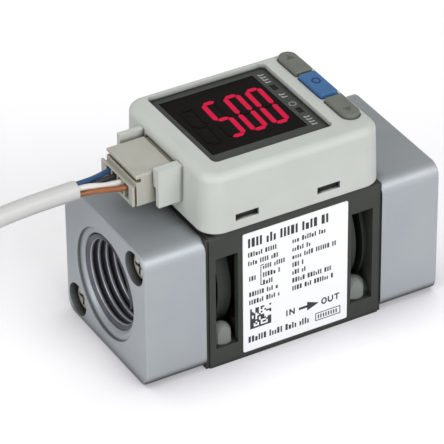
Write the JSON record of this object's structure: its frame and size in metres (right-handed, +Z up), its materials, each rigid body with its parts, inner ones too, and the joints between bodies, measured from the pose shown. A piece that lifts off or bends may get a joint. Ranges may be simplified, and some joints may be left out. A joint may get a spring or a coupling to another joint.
{
  "type": "digital flow switch",
  "caption": "Flow switch for air with alloy port blocks, a dark resin body, a pale head with a red digital display and sprung keys, and a plug-in lead that is wound into a coil",
  "frame": {"origin": "centre of the rectangle under the switch, on the face that it stands on, without its lead", "axes": "+X along the flow from inlet to outlet, -Y towards the label side, +Z up through the display"},
  "size_m": [0.142, 0.1197, 0.0476],
  "materials": {
    "block_alloy": "fine blasted die casting, long edges rounded",
    "zinc_steel": "zinc plated cross-recess screws",
    "stainless": "woven stainless mesh",
    "seal_rubber": "black nitrile",
    "body_resin": "dark olive grey moulded resin",
    "throttle_resin": "dark moulded resin",
    "circuit_board": "green solder mask",
    "chip_black": "black encapsulated parts",
    "label_film": null,
    "housing_resin": "fine textured pale grey resin",
    "tray_resin": "grey display surround",
    "display_black": "smoked display face",
    "lit_red": "lit red bars",
    "unlit_segment": "unlit bars, nearly black",
    "button_grey": "warm grey keys",
    "button_blue": "blue key",
    "plunger_resin": "black switch plungers",
    "tinned_pin": "tinned contacts",
    "connector_cream": "cream connector resin",
    "core_brown": "brown core insulation, bared tinned tip",
    "core_white": "white core insulation, bared tinned tip",
    "core_black": "black core insulation, bared tinned tip",
    "core_blue": "blue core insulation, bared tinned tip",
    "cable_jacket": "off-white soft cable jacket"
  },
  "bodies": {
    "switch": {"inlet_block": "block_alloy", "outlet_block": "block_alloy", "inlet_screws": "zinc_steel", "outlet_screws": "zinc_steel", "port_seals": "seal_rubber", "inlet_screen": "stainless", "outlet_screen": "stainless", "flow_body": "body_resin", "main_passage_throttle": "throttle_resin", "sensor_gasket": "seal_rubber", "sensor_board": "circuit_board", "sensor_chip": "chip_black", "board_screws": "zinc_steel", "board_link": "chip_black", "label_plate": "label_film", "housing_gasket": "seal_rubber", "display_housing": "housing_resin", "display_panel": "tray_resin", "led_display": "display_black", "lit_segments": "lit_red", "unlit_segments": "unlit_segment", "output_lamps": "display_black", "main_board": "circuit_board", "key_switches": "chip_black", "connector_pins": "tinned_pin", "header_base": "connector_cream", "plug_housing": "connector_cream", "plug_contacts": "tinned_pin", "core_brown": "core_brown", "core_white": "core_white", "core_black": "core_black", "core_blue": "core_blue", "cable_sheath": "cable_jacket", "cable_coil": "cable_jacket"},
    "button_up": {"button_up": "button_grey", "plunger_up": "plunger_resin"},
    "button_set": {"button_set": "button_blue", "plunger_set": "plunger_resin"},
    "button_down": {"button_down": "button_grey", "plunger_down": "plunger_resin"}
  },
  "joints": [
    {"name": "button_up_press", "type": "slide", "parent": "switch", "child": "button_up", "axis": [0, 0, -1], "range_m": [0, 0.0004], "stiffness_N_per_m": 800},
    {"name": "button_set_press", "type": "slide", "parent": "switch", "child": "button_set", "axis": [0, 0, -1], "range_m": [0, 0.0004], "stiffness_N_per_m": 800},
    {"name": "button_down_press", "type": "slide", "parent": "switch", "child": "button_down", "axis": [0, 0, -1], "range_m": [0, 0.0004], "stiffness_N_per_m": 800}
  ]
}
